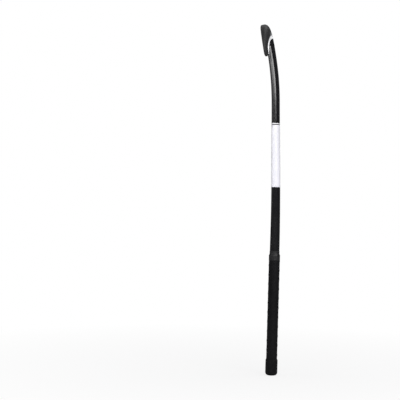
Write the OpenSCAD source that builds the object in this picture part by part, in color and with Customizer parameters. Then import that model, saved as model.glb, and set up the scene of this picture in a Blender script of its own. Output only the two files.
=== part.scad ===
// Field hockey stick, head up. The origin is the centre of the butt's end face, +Z runs up the handle
// to the head, the toe points to -Y and the flat playing face looks to -X. Millimetres.

/* [Overall] */
// Length from the butt to the outside of the hook
stick_len = 927; // [900:1:965]
// Height where the shell's open end sits on the end plug's flange
shell_start = 8; // [7:0.5:10]
// Wall thickness of the composite shell
wall = 3; // [2.5:0.1:3.4]

/* [Handle and shaft] */
// Radius of the round handle under the grip
handle_r = 12.8; // [12.5:0.1:13.5]
// Height up to which the handle is round and straight
handle_top = 345; // [340:1:360]
// Half-width of the shaft where the hook starts, across the stick from toe side to heel side
shaft_half = 22.5; // [21:0.5:23]
// Thickness of the shaft where the hook starts, from the flat face to the rounded back
shaft_thick = 19.8; // [17:0.1:21]

/* [Bow] */
// Lean of the shaft towards the face above the handle, in degrees
shaft_lean = 1.7; // [0:0.1:2.5]
// Extra lean of the head towards the face, in degrees
head_lean = 9.8; // [6:0.1:11]
// Height where the shaft's gentle bow starts
gentle_from = 345; // [340:5:400]
// Height where the shaft's gentle bow ends
gentle_to = 545; // [500:5:600]
// Height where the strong bow below the head starts
strong_from = 722; // [680:5:740]
// Height where the strong bow below the head ends
strong_to = 868; // [840:5:890]

/* [Hook] */
// Radius of the hook's centre line
hook_r = 36; // [34:0.5:40]
// Angle that the hook turns through, in degrees
hook_turn = 176; // [160:1:178]
// Half-width of the stick at the outside of the hook
hook_half = 21.5; // [20:0.5:22.5]
// Length of the straight toe beyond the hook's turn
toe_len = 33; // [30:1:40]
// Half-width of the toe
toe_half = 15.5; // [14:0.5:16.5]
// Thickness of the toe
toe_thick = 9; // [8:0.5:12]

/* [Grip] */
// Thickness of the foam strip under the grip tape
cushion_t = 0.8; // [0.6:0.1:1]
// Thickness of the grip tape
grip_t = 0.9; // [0.8:0.1:1.2]
// Height of the grip tape's upper end
grip_top = 318; // [300:1:322]
// Length of the finishing tape
tape_len = 24; // [16:1:26]

/* [Butt cap] */
// Outside radius of the butt cap
cap_r = 16.1; // [15.8:0.1:17]
// Length of the butt cap
cap_len = 42; // [36:1:46]
// Radius of the butt's rounded end
cap_round = 8; // [5:0.5:10]
// Thickness of the butt cap's end
cap_end = 5; // [4.5:0.5:6]

/* [Printed films] */
// Thickness of each printed film
film_t = 0.2; // [0.15:0.05:0.3]
// Height of the white band's lower end
band_from = 500; // [480:1:530]
// Height of the white band's upper end
band_to = 664; // [640:1:665]
// Height of the trim line's middle
trim_at = 667.8; // [667.5:0.1:700]
// Width of the trim line
trim_w = 2.4; // [1.5:0.1:4]
// Half-width of the head stripe's arch, to the middle of the stripe
stripe_r = 15.5; // [15:0.1:16]
// Width of the head stripe where it runs straight
stripe_w = 3.2; // [2.8:0.2:4]
// Height where the head stripe starts to arch over
stripe_level = 876.5; // [875:0.5:878]
// Rise of the arch's inner edge from there to its top
stripe_inner_rise = 17.5; // [16:0.5:18.5]
// Rise of the arch's outer edge from there to its top
stripe_outer_rise = 26; // [25:0.5:27]
// Distance of the arch's middle behind the centre plane
stripe_back = 10; // [9.5:0.5:10.5]
// Angle from the toe side to where the arch looks upright, in degrees towards the back
stripe_turn = 13; // [12:0.5:14]

/* [Hidden] */
$fn = 96;

// Places along the stick's centre line, measured from the butt
hook_start = stick_len - hook_r - hook_half;
quarter_turn = hook_start + hook_r * PI / 2;
hook_end = hook_start + hook_r * PI * hook_turn / 180;
toe_end = hook_end + toe_len;
tip_from = toe_end - toe_half;
core_from = hook_start - 30;

// Section angles between which the head stripe runs: 90 is the back, 180 the toe side, 270 the face
stripe_from = 24;
stripe_to = 192;

// How far round the hook the head stripe may reach
stripe_reach = 80;

// Points round a section, and the sizes of the hidden pieces
end_plug_top = 45;
ring_points = 36;
web_t = 1.6;
bladder_t = 0.3;
gap = 0.1;

// Sections along the centre line: distance, half-width, face to centre plane, thickness, flatness.
// A flatness of 0 is round, of 1 is flat-faced with a rounded back, and above 1 has sharper face edges.
stations = [
    [0, handle_r, handle_r, 2 * handle_r, 0],
    [handle_top - 15, handle_r, handle_r, 2 * handle_r, 0],
    [handle_top, handle_r, handle_r, 2 * handle_r, 0],
    [430, 14.6, 11.8, 24, 0.3],
    [520, 16.8, 10.9, 22.5, 0.6],
    [610, 18.6, 10.1, 21.2, 0.8],
    [700, 20.3, 9.4, 20, 0.9],
    [790, 21.7, 9, 19.8, 1],
    [hook_start, shaft_half, 9.3, shaft_thick, 1],
    [quarter_turn - 20, 22.2, 9.6, 21, 1.8],
    [quarter_turn + 12, 21, 10.4, 21.9, 2.2],
    [hook_end - 18, 18.4, 8.5, 15.6, 1.5],
    [hook_end + 4, 16.6, 8.5, 12, 1],
    [tip_from, toe_half, 8.5, toe_thick, 1],
    [toe_end + 1, toe_half - 0.2, 8.5, toe_thick, 1]
];

// The slope of the curve through the stations at station i, for value k
function station_slope(i, k) =
    let (a = max(i - 1, 0), b = min(i + 1, len(stations) - 1))
    (stations[b][k] - stations[a][k]) / (stations[b][0] - stations[a][0]);

// A smooth curve through value k of the stations
function smooth(s, k, i = 0) =
    i < len(stations) - 2 && s > stations[i + 1][0] ? smooth(s, k, i + 1) :
    let (a = stations[i], b = stations[i + 1], w = b[0] - a[0], t = (s - a[0]) / w)
    a[k] * (1 + 2 * t) * pow(1 - t, 2) + b[k] * t * t * (3 - 2 * t)
        + w * t * (1 - t) * ((1 - t) * station_slope(i, k) - t * station_slope(i + 1, k));

// How far the tip has rounded in: 1 before the tip, 0 at its very end
function tip_width(s) = s < tip_from ? 1 : sqrt(max(0, 1 - pow((s - tip_from) / toe_half, 2)));
function tip_thick(s) = s < tip_from ? 1 : sqrt(max(0, 1 - pow((s - tip_from) / toe_half, 8)));

// The bow: how far the stick has moved towards the face at height h, and its slope there
function ramp(h, from, to) =
    h < from ? 0 : h < to ? pow(h - from, 2) / (2 * (to - from)) : h - (from + to) / 2;
function ramp_slope(h, from, to) = max(0, min(1, (h - from) / (to - from)));
function bow(h) = -tan(shaft_lean) * ramp(h, gentle_from, gentle_to)
    - tan(head_lean) * ramp(h, strong_from, strong_to);
function bow_angle(h) = atan(tan(shaft_lean) * ramp_slope(h, gentle_from, gentle_to)
    + tan(head_lean) * ramp_slope(h, strong_from, strong_to));

// The centre line in the plane of the hook: turn angle, then [y, height]
function turn_at(s) = max(0, min(hook_turn, (s - hook_start) / hook_r * 180 / PI));
function centre_at(s) =
    let (a = turn_at(s), past = max(0, s - hook_end))
    [hook_r * (cos(a) - 1) - past * sin(a), min(s, hook_start) + hook_r * sin(a) + past * cos(a)];

// A point of the stick: u across it in the hook's plane, v from the centre plane towards the back
function place(s, u, v) =
    let (a = turn_at(s), c = centre_at(s), h = c[1] + u * sin(a), lean = bow_angle(h))
    [bow(h) + v * cos(lean), c[0] + u * cos(a), h + v * sin(lean)];

// One point [u, v] of the section at distance s, at angle a round it, moved in by inset
function signed_pow(x, p) = sign(x) * pow(abs(x), p);
function section_point(s, a, inset) =
    let (
        flat = smooth(s, 4),
        split = 0.5 - 0.08 * flat,
        thick = smooth(s, 3) * tip_thick(s),
        middle = smooth(s, 3) * split - smooth(s, 2),
        front = a > 180,
        power = front ? 2 / (2 + 2.2 * flat) : 2 / (2 + 0.2 * flat),
        half = max(0.01, smooth(s, 1) * tip_width(s) - inset),
        depth = max(0.01, thick * (front ? split : 1 - split) - inset)
    )
    [half * signed_pow(cos(a), power), middle + depth * signed_pow(sin(a), power)];

// A whole section, or the stretch of one between two angles
function ring(s, inset = 0, from = 0, to = 360, count = ring_points) =
    [for (i = [0:count - 1]) let (p = section_point(s, from + (to - from) * i / count, inset))
        place(s, p[0], p[1])];

// Half a channel beside the web: side 1 is the heel side and -1 the toe side
function channel(s, side, inset) =
    [for (i = [0:15])
        let (p = section_point(s, (side > 0 ? 270 : 90) + 12 * i, wall + gap),
            u = side * max(side * p[0], web_t / 2 + gap),
            middle = section_point(s, side > 0 ? 0 : 180, wall + gap) / 2,
            shift = middle - [u, p[1]])
        let (q = [u, p[1]] + shift * min(1, inset / norm(shift))) place(s, q[0], q[1])];

// Evenly spaced places, ends included
function steps(from, to, count) = [for (i = [0:count]) from + (to - from) * i / count];

// Places along the shaft, round the hook, along the toe and over the rounded tip
shaft_steps = steps(shell_start, hook_start, 40);
hook_steps = steps(hook_start + 4, hook_end, 26);
tip_steps = concat(steps(hook_end + 6, tip_from, 3), [for (a = [20:14:90]) tip_from + toe_half * sin(a)]);
inner_steps = concat(steps(shell_start, hook_start, 26), steps(hook_start + 6, tip_from, 22));

// Triangles between two neighbouring rings of n points, the first one starting at point a
function wall_faces(a, b, n) =
    [for (i = [0:n - 1]) let (j = (i + 1) % n) each [[a + i, b + j, a + j], [a + i, b + i, b + j]]];
function flipped(faces) = [for (f = faces) [f[2], f[1], f[0]]];
function flat_list(lists) = [for (l = lists) each l];
function ring_middle(r) = [for (k = [0:2]) (max([for (p = r) p[k]]) + min([for (p = r) p[k]])) / 2];

// The skin over a list of rings, and the fan that closes its last ring onto the point tip
function skin(rings, at, n) =
    flat_list([for (k = [0:len(rings) - 2]) wall_faces(at + k * n, at + (k + 1) * n, n)]);
function fan(a, tip, n) = [for (i = [0:n - 1]) [a + i, tip, a + (i + 1) % n]];

// A solid through a list of rings, closed at both ends
module loft(rings) {
    n = len(rings[0]);
    last = (len(rings) - 1) * n;
    polyhedron(concat(flat_list(rings), [ring_middle(rings[0]), ring_middle(rings[len(rings) - 1])]),
        concat(skin(rings, 0, n), flipped(fan(0, last + n, n)), fan(last, last + n + 1, n)), 10);
}

// A bottle: open where both lists of rings start, closed where each ends
module bottle(outer, inner) {
    n = len(outer[0]);
    in = len(outer) * n;
    all = in + len(inner) * n;
    polyhedron(concat(flat_list(outer), flat_list(inner),
            [ring_middle(outer[len(outer) - 1]), ring_middle(inner[len(inner) - 1])]),
        concat(skin(outer, 0, n), fan(in - n, all, n),
            flipped(concat(skin(inner, in, n), fan(all - n, all + 1, n))), wall_faces(in, 0, n)), 10);
}

// A sleeve, open at both ends
module sleeve(outer, inner) {
    n = len(outer[0]);
    in = len(outer) * n;
    polyhedron(concat(flat_list(outer), flat_list(inner)),
        concat(skin(outer, 0, n), flipped(skin(inner, in, n)), wall_faces(in, 0, n),
            wall_faces(in - n, 2 * in - n, n)), 10);
}

// A printed film round the whole section between two heights
module film(from, to, count) {
    places = steps(from, to, count);
    sleeve([for (s = places) ring(s, -film_t)], [for (s = places) ring(s)]);
}

// A round sleeve about the handle
module tube(r_out, r_in, from, to) {
    translate([0, 0, from]) difference() {
        cylinder(r = r_out, h = to - from);
        translate([0, 0, -1]) cylinder(r = r_in, h = to - from + 2);
    }
}

module shell() {
    color([0.05, 0.05, 0.055])
        bottle([for (s = concat(shaft_steps, hook_steps, tip_steps)) ring(s)],
            [for (s = inner_steps) ring(s, wall)]);
}

// Flat wall between the two channels, from the face's inside to the back's inside
module centre_web() {
    places = steps(end_plug_top + 1, core_from - 1, 30);
    face_edge = [for (s = places) place(s, 0, section_point(s, 270, wall + gap)[1])];
    back_edge = [for (i = [30:-1:0]) place(places[i], 0, section_point(places[i], 90, wall + gap)[1])];
    color([0.1, 0.1, 0.11])
        rotate([90, 0, 0])
            linear_extrude(web_t, center = true)
                polygon([for (p = concat(face_edge, back_edge)) [p[0], p[2]]]);
}

module bladder(side) {
    places = steps(end_plug_top + 1, core_from - 1, 24);
    color([0.75, 0.75, 0.7])
        bottle([for (s = places) channel(s, side, 0)],
            [for (i = [0:23]) channel(places[i], side, bladder_t)]);
}
module bladder_toe_side() bladder(-1);
module bladder_heel_side() bladder(1);

// Foam that fills the hook from just below it to the toe
module head_core() {
    places = concat(steps(core_from, hook_start, 2), steps(hook_start + 6, tip_from - 1, 22));
    color([0.8, 0.72, 0.5])
        loft([for (s = places) ring(s, wall + gap, count = 24)]);
}

module end_plug() {
    color([0.2, 0.2, 0.2]) {
        translate([0, 0, cap_end]) cylinder(r = handle_r, h = shell_start - cap_end);
        translate([0, 0, cap_end]) cylinder(r = handle_r - wall - gap, h = end_plug_top - cap_end);
    }
}

module cushion_wrap() {
    color([0.25, 0.25, 0.25])
        tube(handle_r + cushion_t, handle_r, cap_end, grip_top);
}

module grip_tape() {
    color([0.06, 0.06, 0.06])
        tube(handle_r + cushion_t + grip_t, handle_r + cushion_t, cap_end, grip_top);
}

// Tape that laps over the grip's end and down onto the shaft
module finishing_tape() {
    r = handle_r + cushion_t + grip_t;
    low = grip_top - tape_len / 2;
    high = grip_top + tape_len / 2;
    color([0.03, 0.03, 0.03])
        rotate_extrude()
            polygon([[r, low], [r + 0.25, low], [r + 0.25, grip_top], [handle_r + 0.3, high - 6],
                [handle_r + 0.3, high], [handle_r, high], [handle_r, grip_top], [r, grip_top]]);
}

// Rubber cup over the butt, with a flat end face and a true cylinder round it
module butt_cap() {
    inner = handle_r + cushion_t + grip_t;
    edge = 1;
    color([0.05, 0.05, 0.05])
        rotate_extrude()
            difference() {
                union() {
                    square([cap_r - cap_round, cap_round]);
                    translate([cap_r - cap_round, cap_round]) circle(cap_round);
                    translate([0, cap_round]) square([cap_r, cap_len - cap_round - edge]);
                    translate([0, cap_len - edge - 1]) square([cap_r - edge, edge + 1]);
                    translate([cap_r - edge, cap_len - edge]) circle(edge);
                }
                translate([-cap_r, -1]) square([cap_r, cap_len + 2]);
                translate([-1, cap_end]) square([inner + 1, cap_len]);
            }
}

module white_band() {
    color([0.93, 0.93, 0.95])
        film(band_from, band_to, 12);
}

module trim_line() {
    color([0.85, 0.85, 0.87])
        film(trim_at - trim_w / 2, trim_at + trim_w / 2, 2);
}

// How far the surface at section angle a lies outside an arch of half-width r and that rise. The arch
// stands on straight sides below stripe_level, and is upright as seen from stripe_turn.
function off_arch(s, a, r, rise) =
    let (q = section_point(s, a, 0), p = place(s, q[0], q[1]),
        across = p[0] * cos(stripe_turn) + p[1] * sin(stripe_turn) - bow(stripe_level) - stripe_back)
    norm([across, max(0, p[2] - stripe_level) * r / rise]) - r;

// The place along the stick where the surface at section angle a crosses that arch
function arch_place(a, r, rise, low, high, n = 18) =
    let (mid = (low + high) / 2)
    n == 0 ? mid :
    off_arch(mid, a, r, rise) < 0 ? arch_place(a, r, rise, mid, high, n - 1) :
    arch_place(a, r, rise, low, mid, n - 1);

// White arch from the shaft's toe side, where it runs into the throat, over the back to the heel side
module head_stripe() {
    function edge(a, r, rise) =
        arch_place(a, r, rise, stripe_level - 50, hook_start + stripe_reach);
    function strip(a, inset) =
        [for (s = steps(edge(a, stripe_r - stripe_w / 2, stripe_inner_rise),
                edge(a, stripe_r + stripe_w / 2, stripe_outer_rise), 4))
            let (p = section_point(s, a, inset)) place(s, p[0], p[1])];
    function turned_round(list) = [for (i = [len(list) - 1:-1:0]) list[i]];
    color([0.95, 0.95, 0.97])
        loft_flat([for (a = steps(stripe_from, stripe_to, 56))
            concat(strip(a, -film_t), turned_round(strip(a, 0)))]);
}

// A thin plate through a list of strips, each one out along the top and back along the bottom
module loft_flat(loops) {
    n = len(loops[0]);
    last = (len(loops) - 1) * n;
    function cap(at) = [for (i = [0:n / 2 - 2]) each
        [[at + i, at + i + 1, at + n - 1 - i], [at + i + 1, at + n - 2 - i, at + n - 1 - i]]];
    polyhedron(flat_list(loops), concat(flipped(skin(loops, 0, n)), flipped(cap(0)), cap(last)), 10);
}

shell();
centre_web();
bladder_toe_side();
bladder_heel_side();
head_core();
end_plug();
cushion_wrap();
grip_tape();
finishing_tape();
butt_cap();
white_band();
trim_line();
head_stripe();
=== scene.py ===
"""Field hockey stick, head up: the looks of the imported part. Metres, in the part's own frame."""

import math

import bpy
import numpy as np
from mathutils import Matrix, Vector


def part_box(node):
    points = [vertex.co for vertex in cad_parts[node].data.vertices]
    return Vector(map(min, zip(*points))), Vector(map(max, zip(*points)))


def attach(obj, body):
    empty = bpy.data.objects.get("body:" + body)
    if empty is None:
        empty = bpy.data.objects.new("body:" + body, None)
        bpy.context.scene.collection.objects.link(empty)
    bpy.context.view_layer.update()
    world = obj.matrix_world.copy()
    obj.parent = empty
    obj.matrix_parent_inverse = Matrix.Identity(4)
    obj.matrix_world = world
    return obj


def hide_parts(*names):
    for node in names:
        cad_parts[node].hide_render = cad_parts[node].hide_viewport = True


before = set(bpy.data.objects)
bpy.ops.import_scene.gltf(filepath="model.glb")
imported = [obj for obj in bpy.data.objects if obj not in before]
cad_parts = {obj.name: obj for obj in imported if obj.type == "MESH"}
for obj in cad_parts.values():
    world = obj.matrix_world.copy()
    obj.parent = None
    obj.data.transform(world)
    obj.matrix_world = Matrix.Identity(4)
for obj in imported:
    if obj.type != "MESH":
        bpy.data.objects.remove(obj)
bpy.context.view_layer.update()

MM = 0.001

# ---------------------------------------------------------------- the stick's shape, in millimetres
STICK_LEN = 927.0
HANDLE_R = 12.8
HANDLE_TOP = 345.0
WALL = 3.0
FILM_T = 0.2
SHELL_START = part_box("shell")[0].z / MM
HOOK_R = 36.0
HOOK_TURN = math.radians(176)
HOOK_HALF = 21.5
TOE_LEN = 33.0
TOE_HALF = 15.5
TOE_THICK = 9.0
SHAFT_LEAN = math.tan(math.radians(1.7))
HEAD_LEAN = math.tan(math.radians(9.8))
GENTLE_BOW = (345.0, 545.0)
STRONG_BOW = (722.0, 868.0)
BAND_FROM, BAND_TO = 500.0, 664.0
TRIM_FROM, TRIM_TO = 666.6, 669.0

HOOK_START = STICK_LEN - HOOK_R - HOOK_HALF
QUARTER_TURN = HOOK_START + HOOK_R * math.pi / 2
HOOK_END = HOOK_START + HOOK_R * HOOK_TURN
TOE_END = HOOK_END + TOE_LEN
TIP_FROM = TOE_END - TOE_HALF

# Sections: distance along the centre line, half-width, face to centre plane, thickness, flatness
STATIONS = np.array([
    (0, HANDLE_R, HANDLE_R, 2 * HANDLE_R, 0),
    (HANDLE_TOP - 15, HANDLE_R, HANDLE_R, 2 * HANDLE_R, 0),
    (HANDLE_TOP, HANDLE_R, HANDLE_R, 2 * HANDLE_R, 0),
    (430, 14.6, 11.8, 24, 0.3),
    (520, 16.8, 10.9, 22.5, 0.6),
    (610, 18.6, 10.1, 21.2, 0.8),
    (700, 20.3, 9.4, 20, 0.9),
    (790, 21.7, 9, 19.8, 1),
    (HOOK_START, 22.5, 9.3, 19.8, 1),
    (QUARTER_TURN - 20, 22.2, 9.6, 21, 1.8),
    (QUARTER_TURN + 12, 21, 10.4, 21.9, 2.2),
    (HOOK_END - 18, 18.4, 8.5, 15.6, 1.5),
    (HOOK_END + 4, 16.6, 8.5, 12, 1),
    (TIP_FROM, TOE_HALF, 8.5, TOE_THICK, 1),
    (TOE_END + 1, TOE_HALF - 0.2, 8.5, TOE_THICK, 1),
])


def station_curve(s, k):
    """A smooth curve through column k of the stations, at distances s."""
    x, y = STATIONS[:, 0], STATIONS[:, k]
    before, after = np.maximum(np.arange(len(x)) - 1, 0), np.minimum(np.arange(len(x)) + 1, len(x) - 1)
    slope = (y[after] - y[before]) / (x[after] - x[before])
    i = np.clip(np.searchsorted(x, s) - 1, 0, len(x) - 2)
    w = x[i + 1] - x[i]
    t = (s - x[i]) / w
    return (y[i] * (1 + 2 * t) * (1 - t) ** 2 + y[i + 1] * t * t * (3 - 2 * t)
            + w * t * (1 - t) * ((1 - t) * slope[i] - t * slope[i + 1]))


def softened(values, spread):
    """The same samples, blurred along their length so that reflections run without a kink."""
    reach = int(3 * spread)
    kernel = np.exp(-0.5 * (np.arange(-reach, reach + 1) / spread) ** 2)
    padded = np.concatenate([np.full(reach, values[0]), values, np.full(reach, values[-1])])
    return np.convolve(padded, kernel / kernel.sum(), "valid")


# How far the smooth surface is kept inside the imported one, so that it never grows out of its box
SKIN_GAP = 0.04
# The smallest half-width and half-thickness, at the very end of the toe
THINNEST = 0.01
SAMPLES = np.arange(0.0, TOE_END + 1)
PROFILE = [softened(station_curve(SAMPLES, k), 6) for k in range(1, 5)]


def profile(s, k):
    """Half-width, face to centre plane, thickness or flatness, for k from 0 to 3, at distance s."""
    return np.interp(s, SAMPLES, PROFILE[k])


def ramp(h, start, stop):
    """How far a curve has moved at h when its slope grows evenly from 0 to 1 between start and stop."""
    inside = np.clip(h, start, stop) - start
    return inside ** 2 / (2 * (stop - start)) + np.maximum(0, h - stop)


HEIGHTS = np.arange(-50.0, 1000.0)
BOW = softened(-SHAFT_LEAN * ramp(HEIGHTS, *GENTLE_BOW) - HEAD_LEAN * ramp(HEIGHTS, *STRONG_BOW), 8)
LEAN = -np.arctan(np.gradient(BOW, HEIGHTS))


def bow(h):
    """How far the stick has moved at height h, where towards the face is negative."""
    return np.interp(h, HEIGHTS, BOW)


def place(s, u, v):
    """Points of the stick: u across it in the hook's plane, v from its centre plane towards the back."""
    turn = np.clip((s - HOOK_START) / HOOK_R, 0, HOOK_TURN)
    past = np.maximum(0, s - HOOK_END)
    y = HOOK_R * (np.cos(turn) - 1) - past * np.sin(turn) + u * np.cos(turn)
    h = np.minimum(s, HOOK_START) + HOOK_R * np.sin(turn) + past * np.cos(turn) + u * np.sin(turn)
    lean = np.interp(h, HEIGHTS, LEAN)
    return np.stack([bow(h) + v * np.cos(lean), y, h + v * np.sin(lean)], axis=-1)


def tip_shrink(s, power):
    """1 up to the tip, then down to 0 at its very end."""
    over = np.clip((s - TIP_FROM) / TOE_HALF, 0, 1)
    return np.sqrt(np.maximum(0, 1 - over ** power))


def signed_power(x, p):
    return np.sign(x) * np.abs(x) ** p


def section(s, angle, inset=0.0):
    """[u, v] of the section at distance s, at the given angles round it, moved in by inset."""
    flat = profile(s, 3)
    split = 0.5 - 0.08 * flat
    thick = profile(s, 2)
    front = angle > math.pi
    power = np.where(front, 2 / (2 + 2.2 * flat), 2 / (2 + 0.2 * flat))
    half = max(THINNEST, profile(s, 0) * tip_shrink(s, 2) - inset - SKIN_GAP)
    share = np.where(front, split, 1 - split)
    depth = np.maximum(THINNEST, thick * tip_shrink(s, 8) * share - inset - SKIN_GAP)
    middle = thick * split - profile(s, 1)
    return half * signed_power(np.cos(angle), power), middle + depth * signed_power(np.sin(angle), power)


FINE_COUNT = 1441


def ring(s, count, inset=0.0):
    """A whole section as evenly spaced points, and the distance of each round it."""
    fine = np.linspace(0, 2 * math.pi, FINE_COUNT)
    u, v = section(s, fine, inset)
    run = np.concatenate([[0], np.cumsum(np.hypot(np.diff(u), np.diff(v)))])
    at = np.linspace(0, run[-1], count, endpoint=False)
    return place(s, np.interp(at, run, u), np.interp(at, run, v)), at


# ---------------------------------------------------------------- meshes
def make_piece(name, points, faces, uvs=None):
    """A smooth-shaded piece from points in millimetres, and a UV for each corner, in millimetres too."""
    mesh = bpy.data.meshes.new(name)
    mesh.from_pydata([tuple(p) for p in np.asarray(points) * MM], [], [tuple(map(int, f)) for f in faces])
    if uvs is not None:
        layer = mesh.uv_layers.new(name="size")
        layer.data.foreach_set("uv", np.asarray(uvs, np.float32).ravel() * MM)
    mesh.shade_smooth()
    piece = bpy.data.objects.new(name, mesh)
    bpy.context.scene.collection.objects.link(piece)
    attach(piece, "root")
    return piece


def grid_faces(rows, count, start=0, turned=False):
    """Quads between closed rows of count points each, wound the other way round if turned."""
    faces = []
    for r in range(rows - 1):
        a, b = start + r * count, start + (r + 1) * count
        for i in range(count):
            j = (i + 1) % count
            quad = (a + i, a + j, b + j, b + i)
            faces.append(quad[::-1] if turned else quad)
    return faces


def end_faces(start, count, turned=False):
    """Quads that close a flat strip's end, where a row runs out along its top and back along its bottom."""
    faces = [(start + i, start + i + 1, start + count - 2 - i, start + count - 1 - i)
             for i in range(count // 2 - 1)]
    return [f[::-1] for f in faces] if turned else faces


def grid_uvs(faces, across, along, count):
    """UVs of such quads, unwrapped at the seam: across runs round the ring, along runs down the rows."""
    uvs = []
    for f in faces:
        seam = {v % count for v in f} == {0, count - 1}
        for v in f:
            row, column = divmod(v, count)
            run = across[row][column]
            if seam and column == 0:
                run = across[row][-1] * count / (count - 1)
            uvs.append((run, along[row]))
    return uvs


def cap_faces(start, count, tip, turned=False):
    """Triangles from a row of count points to the point tip."""
    faces = [(start + i, start + (i + 1) % count, tip) for i in range(count)]
    return [f[::-1] for f in faces] if turned else faces


def revolve(name, outline, count, bump=None):
    """A piece turned about the handle's axis. The outline of (radius, height) is a closed loop, or starts and
    ends on the axis. bump(height, angles) adds to the radius."""
    outline = np.asarray(outline, float)
    poles = outline[0][0] == 0
    body = outline[1:-1] if poles else outline
    around = np.linspace(0, 2 * math.pi, count, endpoint=False)
    rows = []
    for r, z in body:
        radius = r + (bump(z, around) if bump else 0 * around)
        rows.append(np.stack([radius * np.cos(around), radius * np.sin(around), np.full(count, z)], -1))
    points = np.concatenate(rows)
    n = len(body)
    faces = grid_faces(n, count)
    if poles:
        points = np.concatenate([points, [(0, 0, outline[0][1]), (0, 0, outline[-1][1])]])
        faces += cap_faces(0, count, n * count, turned=True)
        faces += cap_faces((n - 1) * count, count, n * count + 1)
    else:
        last = (n - 1) * count
        faces += [(last + i, last + (i + 1) % count, (i + 1) % count, i) for i in range(count)]
    return make_piece(name, points, faces)


def arc(cx, cy, r, start, stop, steps):
    """Points of an arc, angles in degrees."""
    return [(cx + r * math.cos(a), cy + r * math.sin(a))
            for a in np.radians(np.linspace(start, stop, steps))]


# ---------------------------------------------------------------- the moulded shell and its printed films
RING_COUNT = 112


def lengthwise():
    """Distances of the rings along the stick: wide on the shaft, close round the hook and over the tip."""
    shaft = np.linspace(SHELL_START, HOOK_START - 14, 190, endpoint=False)
    hook = np.linspace(HOOK_START - 14, TIP_FROM, 120, endpoint=False)
    tip = TIP_FROM + TOE_HALF * np.sin(np.radians(np.linspace(0, 89.2, 30)))
    return np.concatenate([shaft, hook, tip])


def make_shell():
    """A tube of even wall, open at the butt and closed over the toe."""
    n = RING_COUNT
    places = lengthwise()
    rings, runs = zip(*[ring(s, n) for s in places])
    inner_places = [*np.linspace(SHELL_START, HOOK_START, 60), *np.linspace(HOOK_START + 3, TIP_FROM, 46)]
    inner = [ring(s, n, WALL)[0] for s in inner_places]
    points = np.concatenate([*rings, *inner, [rings[-1].mean(0)], [inner[-1].mean(0)]])
    rows, inner_rows = len(rings), len(inner)
    first = rows * n
    outer_tip = first + inner_rows * n
    outer_faces = grid_faces(rows, n, turned=True)
    uvs = grid_uvs(outer_faces, runs, places, n)
    rest = cap_faces((rows - 1) * n, n, outer_tip, turned=True)
    rest += grid_faces(inner_rows, n, first)
    rest += cap_faces(first + (inner_rows - 1) * n, n, outer_tip + 1)
    rest += [((i + 1) % n, first + (i + 1) % n, first + i, i) for i in range(n)]
    for f in rest:
        uvs += [(0.0, TOE_END if max(f) >= outer_tip else 0.0)] * len(f)
    shell = make_piece("moulded_shell", points, outer_faces + rest, uvs)
    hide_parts("shell")
    return shell


# A film's edge runs out thin over EDGE and ends just under the lacquer. Its underside lies a little deeper.
EDGE = 0.35
EDGE_DEEP = 0.02
UNDER_DEEP = 0.05


def make_film(name, node, start, stop, rows):
    """A printed film round the shaft, with thin rolled edges."""
    n = RING_COUNT
    places = np.linspace(start, stop, rows)
    outer = [ring(s, n, -FILM_T)[0] for s in places]
    runs = [ring(s, n)[1] for s in places]
    low = ring(start - EDGE, n, EDGE_DEEP)[0]
    high = ring(stop + EDGE, n, EDGE_DEEP)[0]
    under = [ring(s, n, UNDER_DEEP)[0] for s in (stop, (start + stop) / 2, start)]
    rings = [low, *outer, high, *under]
    points = np.concatenate(rings)
    total = len(rings)
    faces = grid_faces(total, n, turned=True)
    last = (total - 1) * n
    faces += [(i, (i + 1) % n, last + (i + 1) % n, last + i) for i in range(n)]
    across = [runs[0], *runs, runs[-1], runs[-1], runs[0], runs[0]]
    along = [start - EDGE, *places, stop + EDGE, stop, (start + stop) / 2, start]
    uvs = grid_uvs(faces[:(total - 1) * n], across, along, n)
    uvs += [(0.0, start)] * (4 * n)
    piece = make_piece(name, points, faces, uvs)
    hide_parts(node)
    return piece


# The head stripe: an arch on straight sides below STRIPE_LEVEL, upright as seen from STRIPE_TURN
STRIPE_LEVEL = 876.5
STRIPE_INNER_RISE = 17.5
STRIPE_OUTER_RISE = 26.0
STRIPE_R = 15.5
STRIPE_W = 3.2
STRIPE_TURN = math.radians(13)
STRIPE_MIDDLE = float(bow(STRIPE_LEVEL)) + 10
STRIPE_REACH = 80.0
# The section angles that the stripe runs between
STRIPE_FROM, STRIPE_TO = 24, 192
# The painted reflection above the arch, a pale fade that stands in for the glossy head reflecting the bright
# studio: how far it reaches past the stripe, and where across it starts and is full
PAINTED_REFLECTION_WIDE = 9.0
PAINTED_REFLECTION_FROM, PAINTED_REFLECTION_FULL = -15.0, -6.0
# The head's satin finish starts at this height on the face, and covers all that lies past this place
# towards the toe
SATIN_FROM = 852.0
TOE_ARM = -45.0


def arch_r(points, r, rise):
    """The half-width of the arch that runs through each point and has the shape of one of that r and rise."""
    across = points[..., 0] * math.cos(STRIPE_TURN) + points[..., 1] * math.sin(STRIPE_TURN) - STRIPE_MIDDLE
    return np.hypot(across, np.maximum(0, points[..., 2] - STRIPE_LEVEL) * r / rise)


def arch_place(angle, r, rise):
    """The distance along the stick where the surface at that section angle crosses the arch."""
    low, high = STRIPE_LEVEL - 50, HOOK_START + STRIPE_REACH
    for _ in range(30):
        middle = (low + high) / 2
        inside = arch_r(place(middle, *section(middle, np.array([angle]))), r, rise)[0] < r
        low, high = (middle, high) if inside else (low, middle)
    return low


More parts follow.
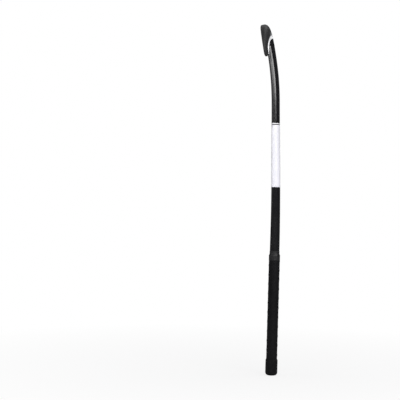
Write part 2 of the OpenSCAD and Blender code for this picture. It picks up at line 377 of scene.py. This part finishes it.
def make_head_stripe():
    """The printed arch, as a film whose edges and ends come down to the lacquer."""
    edge, across, thin = 0.3, 12, 0.02
    lifts = [thin] + [FILM_T] * (across - 1) + [thin]
    angles = np.radians(np.linspace(STRIPE_FROM, STRIPE_TO, 180))
    rows = []
    for angle in angles:
        at = np.array([angle])
        low = arch_place(angle, STRIPE_R - STRIPE_W / 2, STRIPE_INNER_RISE)
        high = arch_place(angle, STRIPE_R + STRIPE_W / 2, STRIPE_OUTER_RISE)
        places = [low - edge, *np.linspace(low, high, across - 1), high + edge]
        most = FILM_T if angles[0] < angle < angles[-1] else thin
        top = [place(s, *section(s, at, -min(lift, most)))[0] for s, lift in zip(places, lifts)]
        under = [place(s, *section(s, at, UNDER_DEEP))[0] for s in places[::-1]]
        rows.append(top + under)
    n = len(rows[0])
    points = np.concatenate(rows)
    faces = grid_faces(len(rows), n) + end_faces(0, n, turned=True) + end_faces((len(rows) - 1) * n, n)
    stripe = make_piece("white_throat_stripe", points, faces)
    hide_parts("head_stripe")
    return stripe


# ---------------------------------------------------------------- the wrapped handle
CUSHION_R = 13.6
GRIP_R = 14.5
CUSHION_GAP = 0.03
GRIP_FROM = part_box("grip_tape")[0].z / MM + 0.2
GRIP_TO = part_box("grip_tape")[1].z / MM
# The strip that winds round: its rise in one turn, width, lap over the turn below, thickness and lift there
PITCH = 25.0
STRIP_W = 31.0
LAP = STRIP_W - PITCH
STRIP_T = 0.86
LAP_LIFT = 0.42


def eased(t):
    """0 up to t = 0, 1 from t = 1, and smooth in between."""
    t = np.clip(t, 0, 1)
    return t ** 2 * (3 - 2 * t)


def make_grip():
    """One strip wound up the handle in a spiral, each turn lapping over the edge of the turn below."""
    per_turn, across = 80, 22
    turns = (GRIP_TO - GRIP_FROM + STRIP_W) / PITCH
    steps = int(turns * per_turn)
    rows = []
    for k in range(steps + 1):
        phi = 2 * math.pi * k / per_turn
        base = GRIP_FROM - STRIP_W + PITCH * k / per_turn + 1
        low, high = max(0, GRIP_FROM - base), min(STRIP_W, GRIP_TO - base)
        if high - low < 1:
            continue
        t = (1 - np.cos(np.linspace(0, math.pi, across))) / 2
        w = low + t * (high - low)
        tuck = np.clip((STRIP_W - w) / (LAP + 1), 0, 1)
        thick = STRIP_T * (0.45 + 0.55 * tuck) * np.sqrt(np.clip(0.12 + w / 1.2, 0, 1))
        inner = CUSHION_R + CUSHION_GAP + LAP_LIFT * (1 - eased((w - LAP * 0.7) / 5))
        outer = inner + thick
        turn = np.array([math.cos(phi), math.sin(phi)])
        top = [(*(turn * r), base + z) for r, z in zip(outer, w)]
        under = [(*(turn * r), base + z) for r, z in zip(inner[::-1], w[::-1])]
        rows.append(top + under)
    n = len(rows[0])
    points = np.concatenate(rows)
    faces = grid_faces(len(rows), n, turned=True) + end_faces(0, n)
    faces += end_faces((len(rows) - 1) * n, n, turned=True)
    grip = make_piece("spiral_grip", points, faces)
    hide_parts("grip_tape")
    return grip


def make_finishing_tape():
    """Two turns of vinyl over the grip's end, drawn in onto the shaft, with a step where the tape ends."""
    low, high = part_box("finishing_tape")[0].z / MM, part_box("finishing_tape")[1].z / MM
    over, onto = GRIP_R + 0.26, HANDLE_R + 0.28
    z = np.concatenate([np.linspace(low, GRIP_TO, 12), np.linspace(GRIP_TO + 0.6, high, 20)])
    r = over + (onto - over) * eased((z - GRIP_TO) / 5.5)
    outer = [(over - 0.16, low - 0.02), *zip(r, z), (onto - 0.18, high + 0.02)]
    on_shaft, on_grip = HANDLE_R - 0.05, GRIP_R - 0.35
    inner = [(on_shaft, high), (on_shaft, GRIP_TO + 5), (on_grip, GRIP_TO), (on_grip, low)]

    def creases(height, around):
        """Puckers where the tape is drawn in, and the step where its outer turn begins."""
        near = math.exp(-((height - GRIP_TO - 2.5) / 2.6) ** 2)
        ridge = 0.05 * np.sin(9 * around + 0.9) * np.sin(14 * around) * near
        lap = 0.1 / (1 + np.exp(-(around - 2.2) * 90)) / (1 + np.exp((around - 5.1) * 3))
        return ridge + lap

    tape = revolve("finishing_tape_wrap", outer + inner, 240, creases)
    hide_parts("finishing_tape")
    return tape


def make_butt_cap():
    """Moulded rubber cap: flat end, rounded edge, plain wall and a rolled lip at its open end."""
    r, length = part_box("butt_cap")[1].x / MM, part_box("butt_cap")[1].z / MM
    edge, end, inside = 8.0, 5.0, GRIP_R + 0.02
    outline = [(0, 0), (3, 0), (r - edge - 0.6, 0)]
    outline += arc(r - edge, edge, edge, -90, 0, 16)
    outline += [(r, 14), (r, 22), (r, 30), (r, 36), (r, length - 1.6)]
    outline += arc(r - 1, length - 1.1, 1.0, 10, 170, 9)
    outline += [(inside, length - 2), (inside, length - 14), (inside, end + 4), (inside - 0.4, end)]
    outline += [(6, end), (0, end)]
    cap = revolve("rubber_butt_cap", outline, 128)
    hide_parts("butt_cap")
    return cap


# ---------------------------------------------------------------- materials
def new_material(name, **values):
    """A material whose Principled BSDF has these values, with its node tree and that shader."""
    material = bpy.data.materials.new(name)
    material.use_nodes = True
    shader = material.node_tree.nodes["Principled BSDF"]
    for socket, value in values.items():
        shader.inputs[socket.replace("_", " ")].default_value = value
    return material, material.node_tree, shader


def add(tree, kind, inputs=None, **settings):
    """A shader node, its inputs either joined to other nodes' outputs or set to values."""
    node = tree.nodes.new("ShaderNode" + kind)
    for setting, value in settings.items():
        setattr(node, setting, value)
    for socket, value in (inputs or {}).items():
        if isinstance(value, bpy.types.NodeSocket):
            tree.links.new(value, node.inputs[socket])
        else:
            node.inputs[socket].default_value = value
    return node


def calc(tree, operation, *values):
    """The output of a sum on values or other nodes' outputs."""
    return add(tree, "Math", dict(enumerate(values)), operation=operation).outputs[0]


def spread(tree, value, start, stop, low, high):
    """A value moved from the range start..stop to the range low..high, and kept in it."""
    limits = {"Value": value, "From Min": start, "From Max": stop, "To Min": low, "To Max": high}
    return add(tree, "MapRange", limits).outputs["Result"]


def mixed(tree, factor, low, high):
    """A colour from low to high."""
    node = add(tree, "ValToRGB", {"Fac": factor})
    node.color_ramp.elements[0].color = (*low, 1)
    node.color_ramp.elements[1].color = (*high, 1)
    return node.outputs["Color"]


def joined(tree, factor, low, high):
    """A colour from low to high, each a colour or another node's output."""
    node = add(tree, "Mix", {"Factor": factor}, data_type="RGBA")
    for name, colour in (("A", low), ("B", high)):
        socket = [s for s in node.inputs if s.name == name and s.type == "RGBA"][0]
        if isinstance(colour, bpy.types.NodeSocket):
            tree.links.new(colour, socket)
        else:
            socket.default_value = colour
    return [s for s in node.outputs if s.type == "RGBA"][0]


def object_place(tree, stretch=(1, 1, 1)):
    """Metres in the part's frame, stretched along its axes."""
    place_node = add(tree, "TexCoord").outputs["Object"]
    return add(tree, "Mapping", {"Vector": place_node, "Scale": stretch}).outputs["Vector"]


def noise(tree, per_metre, detail=3.0, rough=0.55, stretch=(1, 1, 1), warp=0.0):
    """Noise about this many blobs to the metre."""
    inputs = {"Vector": object_place(tree, stretch), "Scale": per_metre, "Detail": detail, "Roughness": rough,
              "Distortion": warp}
    return add(tree, "TexNoise", inputs).outputs[0]


def cells(tree, per_metre, stretch=(1, 1, 1)):
    """Distance to the nearest of this many scattered points to the metre."""
    inputs = {"Vector": object_place(tree, stretch), "Scale": per_metre}
    return add(tree, "TexVoronoi", inputs).outputs["Distance"]


def bumped(tree, shader, height, depth, under=None):
    """Relief of this depth in metres, over another relief."""
    inputs = {"Height": height, "Distance": depth, "Strength": 1.0}
    if under is not None:
        inputs["Normal"] = under
    normal = add(tree, "Bump", inputs).outputs["Normal"]
    tree.links.new(normal, shader.inputs["Normal"])
    return normal


def paint(tree, shader, colour, roughness=None):
    """Joins a colour, and a roughness if there is one, to the shader."""
    tree.links.new(colour, shader.inputs["Base Color"])
    if roughness is not None:
        tree.links.new(roughness, shader.inputs["Roughness"])


def twill(tree, tow):
    """A 2/2 twill of fibre bundles, tow metres wide, laid at 45 degrees: 1 on one set and 0 on the other."""
    split = add(tree, "SeparateXYZ", {0: add(tree, "UVMap", uv_map="size").outputs["UV"]})
    u, v = split.outputs[0], split.outputs[1]
    one, two = [calc(tree, "FLOOR", calc(tree, "DIVIDE", calc(tree, way, u, v), tow * math.sqrt(2)))
                for way in ("ADD", "SUBTRACT")]
    return calc(tree, "LESS_THAN", calc(tree, "FLOORED_MODULO", calc(tree, "ADD", one, two), 4), 2)


def head_masks(tree):
    """Two masks. One is 0 on the shaft and 1 on the head, and changes over under the head stripe. The other
    is a painted reflection: a pale fade above the stripe's arch, standing in for the glossy head's reflection
    of the bright studio."""
    outer_r = STRIPE_R + STRIPE_W / 2
    axis = (math.cos(STRIPE_TURN), math.sin(STRIPE_TURN), 0)
    here = object_place(tree)
    across = add(tree, "VectorMath", {0: here, 1: axis}, operation="DOT_PRODUCT").outputs["Value"]
    across = calc(tree, "SUBTRACT", across, STRIPE_MIDDLE * MM)
    _, y, height = add(tree, "SeparateXYZ", {0: here}).outputs
    above = calc(tree, "MAXIMUM", calc(tree, "SUBTRACT", height, STRIPE_LEVEL * MM), 0.0)
    above = calc(tree, "MULTIPLY", above, outer_r / STRIPE_OUTER_RISE)
    far = calc(tree, "SQRT", calc(tree, "ADD", calc(tree, "MULTIPLY", across, across),
                                  calc(tree, "MULTIPLY", above, above)))
    head = spread(tree, far, (outer_r - 1.8) * MM, (outer_r - 1.2) * MM, 0, 1)
    toe_arm = spread(tree, y, (TOE_ARM - 1) * MM, (TOE_ARM + 1) * MM, 1, 0)
    high = spread(tree, height, (SATIN_FROM - 0.5) * MM, (SATIN_FROM + 0.5) * MM, 0, 1)
    head = calc(tree, "MULTIPLY", head, calc(tree, "MAXIMUM", toe_arm, high))
    # The painted reflection's mask: full at the stripe's outer edge, fading out above it, and cut off towards
    # the face side.
    near = spread(tree, far, (outer_r - 1.5) * MM, (outer_r + PAINTED_REFLECTION_WIDE) * MM, 1, 0)
    painted_reflection = calc(tree, "MULTIPLY", near, spread(tree, across, PAINTED_REFLECTION_FROM * MM, PAINTED_REFLECTION_FULL * MM, 0, 1))
    return head, calc(tree, "MULTIPLY", head, calc(tree, "POWER", painted_reflection, 1.2))


# Width of a fibre bundle in the twill, in metres
TOW = 0.0024


def lacquer():
    """Gloss black lacquer on the shaft, satin over carbon twill on the head, and a painted reflection, a pale
    fade above the head stripe's arch.
    """
    material, tree, shader = new_material("lacquered_composite", IOR=1.46)
    head, painted_reflection = head_masks(tree)
    weave = twill(tree, TOW)
    streaks = noise(tree, 260, 4, stretch=(1, 1, 0.12))
    shaft_tone = mixed(tree, streaks, (0.0045, 0.0045, 0.005), (0.009, 0.009, 0.0105))
    tone = calc(tree, "ADD", calc(tree, "MULTIPLY", weave, 0.45), calc(tree, "MULTIPLY", streaks, 0.55))
    head_tone = mixed(tree, tone, (0.0035, 0.0035, 0.004), (0.009, 0.009, 0.0095))
    # The pale grey mixed in here is painted reflection, laid over the head above the stripe's arch.
    colour = joined(tree, painted_reflection, joined(tree, head, shaft_tone, head_tone), (0.6, 0.6, 0.62, 1))
    scuffs = spread(tree, noise(tree, 95, 6, 0.7, (1, 1, 0.35), 1.2), 0.58, 0.72, 0, 1)
    gloss = spread(tree, noise(tree, 30, 3), 0.3, 0.7, 0.14, 0.18)
    satin = calc(tree, "ADD", 0.62, calc(tree, "MULTIPLY", scuffs, 0.1))
    rough = calc(tree, "ADD", calc(tree, "MULTIPLY", gloss, calc(tree, "SUBTRACT", 1.0, head)),
                 calc(tree, "MULTIPLY", satin, head))
    paint(tree, shader, colour, rough)
    ripple = bumped(tree, shader, noise(tree, 420, 2), 0.000012)
    relief = calc(tree, "MULTIPLY", head, calc(tree, "ADD", calc(tree, "MULTIPLY", weave, 0.35),
                                               calc(tree, "MULTIPLY", noise(tree, 2600, 2), 0.65)))
    bumped(tree, shader, relief, 0.00003, ripple)
    return material


def print_film(name, light, dark):
    """Printed ink under clear satin: faint unevenness, fine grain and a few handling marks."""
    material, tree, shader = new_material(name, IOR=1.45)
    wear = spread(tree, noise(tree, 60, 5, 0.65, (1, 1, 0.4), 0.8), 0.35, 0.75, 1, 0)
    paint(tree, shader, mixed(tree, wear, dark, light),
          spread(tree, noise(tree, 220, 4), 0.3, 0.7, 0.32, 0.42))
    bumped(tree, shader, noise(tree, 900, 2), 0.000012)
    return material


def grip_rubber():
    """Matte grip tape: fine pressed grain, tiny pinholes and a palm-polished mottle."""
    material, tree, shader = new_material("grip", Specular_IOR_Level=0.08)
    mottle = noise(tree, 75, 5, 0.6, (1, 1, 0.7), 0.4)
    grain = cells(tree, 1500)
    holes = spread(tree, cells(tree, 320, (1, 1, 0.9)), 0.10, 0.22, 0, 1)
    paint(tree, shader, mixed(tree, spread(tree, mottle, 0.3, 0.7, 0, 1), (0.0025, 0.0025, 0.003),
                              (0.006, 0.006, 0.007)), spread(tree, mottle, 0.35, 0.65, 0.5, 0.66))
    pressed = bumped(tree, shader, grain, 0.00006)
    bumped(tree, shader, holes, 0.00014, pressed)
    return material


def vinyl():
    """Stretched vinyl tape, a little shinier than the grip."""
    material, tree, shader = new_material("tape", IOR=1.5, Specular_IOR_Level=0.3)
    stretch = noise(tree, 140, 4, stretch=(1, 1, 3.5))
    paint(tree, shader, mixed(tree, stretch, (0.005, 0.005, 0.0055), (0.011, 0.011, 0.012)),
          spread(tree, stretch, 0.3, 0.7, 0.28, 0.4))
    bumped(tree, shader, noise(tree, 1400, 2, stretch=(1, 1, 0.5)), 0.00003)
    return material


def rubber():
    """Moulded rubber: spark-eroded texture, with a dusty bloom that gathers low down."""
    material, tree, shader = new_material("butt_rubber", Specular_IOR_Level=0.08)
    low = spread(tree, add(tree, "SeparateXYZ", {0: object_place(tree)}).outputs[2], 0.0, 0.008, 0.35, 0)
    dust = calc(tree, "ADD", low, spread(tree, noise(tree, 120, 5, 0.65), 0.4, 0.75, 0, 0.7))
    paint(tree, shader, mixed(tree, dust, (0.003, 0.003, 0.0035), (0.012, 0.0117, 0.0114)),
          spread(tree, dust, 0, 1, 0.52, 0.7))
    bumped(tree, shader, noise(tree, 2600, 3), 0.00005)
    return material


def plain_solid(name, light, dark, blobs, relief, **values):
    """A hidden piece's material: a mottled tone with matching relief."""
    material, tree, shader = new_material(name, **values)
    mottle = noise(tree, blobs, 4, 0.6)
    paint(tree, shader, mixed(tree, spread(tree, mottle, 0.3, 0.7, 0, 1), dark, light))
    bumped(tree, shader, cells(tree, blobs * 2.5), relief)
    return material


def raw_laminate():
    """Unpainted carbon laminate with its long fibres showing."""
    material, tree, shader = new_material("raw_laminate", IOR=1.5)
    fibres = noise(tree, 900, 3, stretch=(1, 1, 0.04))
    paint(tree, shader, mixed(tree, fibres, (0.012, 0.012, 0.013), (0.05, 0.05, 0.052)),
          spread(tree, fibres, 0.3, 0.7, 0.35, 0.5))
    bumped(tree, shader, fibres, 0.00004)
    return material


def dress(node, material):
    """Puts a material on a CAD node that keeps its own mesh."""
    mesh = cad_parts[node].data
    mesh.materials.clear()
    mesh.materials.append(material)


def finish_with(piece, material):
    """Puts a material on a piece made here."""
    piece.data.materials.append(material)


finish_with(make_shell(), lacquer())
finish_with(make_film("printed_white_band", "white_band", BAND_FROM, BAND_TO, 60),
            print_film("white_band_print", (0.735, 0.73, 0.785), (0.70, 0.695, 0.75)))
finish_with(make_film("printed_trim_line", "trim_line", TRIM_FROM, TRIM_TO, 4),
            print_film("trim_line_print", (0.70, 0.70, 0.72), (0.64, 0.64, 0.67)))
finish_with(make_head_stripe(), print_film("throat_stripe_print", (0.92, 0.92, 0.93), (0.88, 0.88, 0.90)))
finish_with(make_grip(), grip_rubber())
finish_with(make_finishing_tape(), vinyl())
finish_with(make_butt_cap(), rubber())

dress("centre_web", raw_laminate())
film_finish = plain_solid("bladder_film", (0.62, 0.60, 0.52), (0.5, 0.48, 0.42), 90, 0.00004, Roughness=0.3)
dress("bladder_toe_side", film_finish)
dress("bladder_heel_side", film_finish)
dress("head_core",
      plain_solid("core_foam", (0.70, 0.60, 0.36), (0.58, 0.48, 0.27), 260, 0.0003, Roughness=0.85))
dress("end_plug",
      plain_solid("plug_plastic", (0.05, 0.05, 0.052), (0.03, 0.03, 0.032), 500, 0.00004, Roughness=0.45))
dress("cushion_wrap",
      plain_solid("cushion_foam", (0.06, 0.06, 0.06), (0.035, 0.035, 0.036), 700, 0.0001, Roughness=0.9))


# ---------------------------------------------------------------- studio: camera, lights, floor, background
# The camera's direction, roll and distance, the width that it sees there, and where it aims: a height, and
# how far to the left of the stick
CAMERA_AZIMUTH = math.radians(12.77)
CAMERA_ROLL = math.radians(1.608)
CAMERA_FAR = 3.0
SEEN_WIDTH = 1.0635
SENSOR = 36.0
AIM_HEIGHT = 0.4601
ASIDE = 0.2021


def toward(azimuth, elevation=0.0):
    """A unit vector: azimuth 0 looks along +Y, so it points to -Y, and it turns towards +X."""
    level = math.cos(elevation)
    return Vector((math.sin(azimuth) * level, -math.cos(azimuth) * level, math.sin(elevation)))


def make_camera():
    """Level camera, rolled a little about its own axis, that sees the stick to the right of the middle."""
    back = toward(CAMERA_AZIMUTH)
    right = Vector((math.cos(CAMERA_AZIMUTH), math.sin(CAMERA_AZIMUTH), 0))
    data = bpy.data.cameras.new("camera")
    data.sensor_width = SENSOR
    data.lens = SENSOR * CAMERA_FAR / SEEN_WIDTH
    data.clip_end = 50
    camera = bpy.data.objects.new("camera", data)
    bpy.context.scene.collection.objects.link(camera)
    turned = Matrix((right, Vector((0, 0, 1)), back)).transposed().to_4x4()
    aim = Vector((0, 0, AIM_HEIGHT)) - right * ASIDE
    stand = Matrix.Translation(aim + back * CAMERA_FAR)
    camera.matrix_world = stand @ turned @ Matrix.Rotation(CAMERA_ROLL, 4, "Z")
    bpy.context.scene.camera = camera


def softbox(name, azimuth, elevation, far, size, power, aim=(0, 0, 0.5)):
    """A rectangular studio light at that angle and distance from the point it is aimed at."""
    data = bpy.data.lights.new(name, "AREA")
    data.shape = "RECTANGLE"
    data.size, data.size_y = size
    data.energy = power
    light = bpy.data.objects.new(name, data)
    bpy.context.scene.collection.objects.link(light)
    way = toward(math.radians(azimuth), math.radians(elevation))
    light.location = Vector(aim) + way * far
    light.rotation_euler = way.to_track_quat("Z", "Y").to_euler()


def make_background():
    """White to the camera, dim grey to everything else."""
    world = bpy.data.worlds.new("background")
    bpy.context.scene.world = world
    world.use_nodes = True
    tree = world.node_tree
    dim = tree.nodes["Background"]
    dim.inputs["Color"].default_value = (0.05, 0.05, 0.052, 1)
    white = tree.nodes.new("ShaderNodeBackground")
    white.inputs["Color"].default_value = (1, 1, 1, 1)
    both = add(tree, "MixShader", {0: tree.nodes.new("ShaderNodeLightPath").outputs["Is Camera Ray"]})
    tree.links.new(dim.outputs[0], both.inputs[1])
    tree.links.new(white.outputs[0], both.inputs[2])
    tree.links.new(both.outputs[0], tree.nodes["World Output"].inputs["Surface"])


def make_floor():
    """A plain pale floor that runs out to the background's white."""
    half = 9.0
    corners = [(-half, -half, 0), (half, -half, 0), (half, half, 0), (-half, half, 0)]
    mesh = bpy.data.meshes.new("floor")
    mesh.from_pydata(corners, [], [(0, 1, 2, 3)])
    floor = bpy.data.objects.new("floor", mesh)
    bpy.context.scene.collection.objects.link(floor)
    material, tree, shader = new_material("floor", Roughness=0.9, Specular_IOR_Level=0.1)
    shader.inputs["Base Color"].default_value = (0.7, 0.7, 0.705, 1)
    far = add(tree, "VectorMath", {0: object_place(tree)}, operation="LENGTH").outputs["Value"]
    fade = calc(tree, "MULTIPLY", spread(tree, far, 0.1, 1.2, 0.8, 1),
                add(tree, "LightPath").outputs["Is Camera Ray"])
    glow = add(tree, "Emission", {"Color": (1, 1, 1, 1), "Strength": 1.0}).outputs[0]
    both = add(tree, "MixShader", {0: fade})
    tree.links.new(shader.outputs[0], both.inputs[1])
    tree.links.new(glow, both.inputs[2])
    tree.links.new(both.outputs[0], tree.nodes["Material Output"].inputs["Surface"])
    finish_with(floor, material)


make_camera()
# Name, azimuth, elevation, distance, size, watts and, for the low ones, the point that they are aimed at
softbox("overhead", 0, 90, 2.9, (2.4, 2.4), 0.5)
softbox("front_strip", -5, 12, 3.4, (2.2, 0.85), 42, (0, 0, 0.75))
softbox("front_right_strip", 42, 13, 2.6, (2.3, 0.72), 54, (0, 0, 0.75))
softbox("left_card", -62, 4, 2.4, (2.4, 0.9), 9, (0, 0, 0.7))
softbox("left_key", -75, 48, 3.2, (2.4, 2.4), 22)
softbox("right_key", 105, 52, 3.2, (2.2, 2.2), 30)
softbox("rear_left", 215, 55, 3.2, (2.0, 2.0), 15)
softbox("rear_right", 150, 58, 3.2, (2.0, 2.0), 20)
make_background()
make_floor()

scene = bpy.context.scene
scene.view_settings.view_transform = "Standard"
scene.view_settings.look = "None"
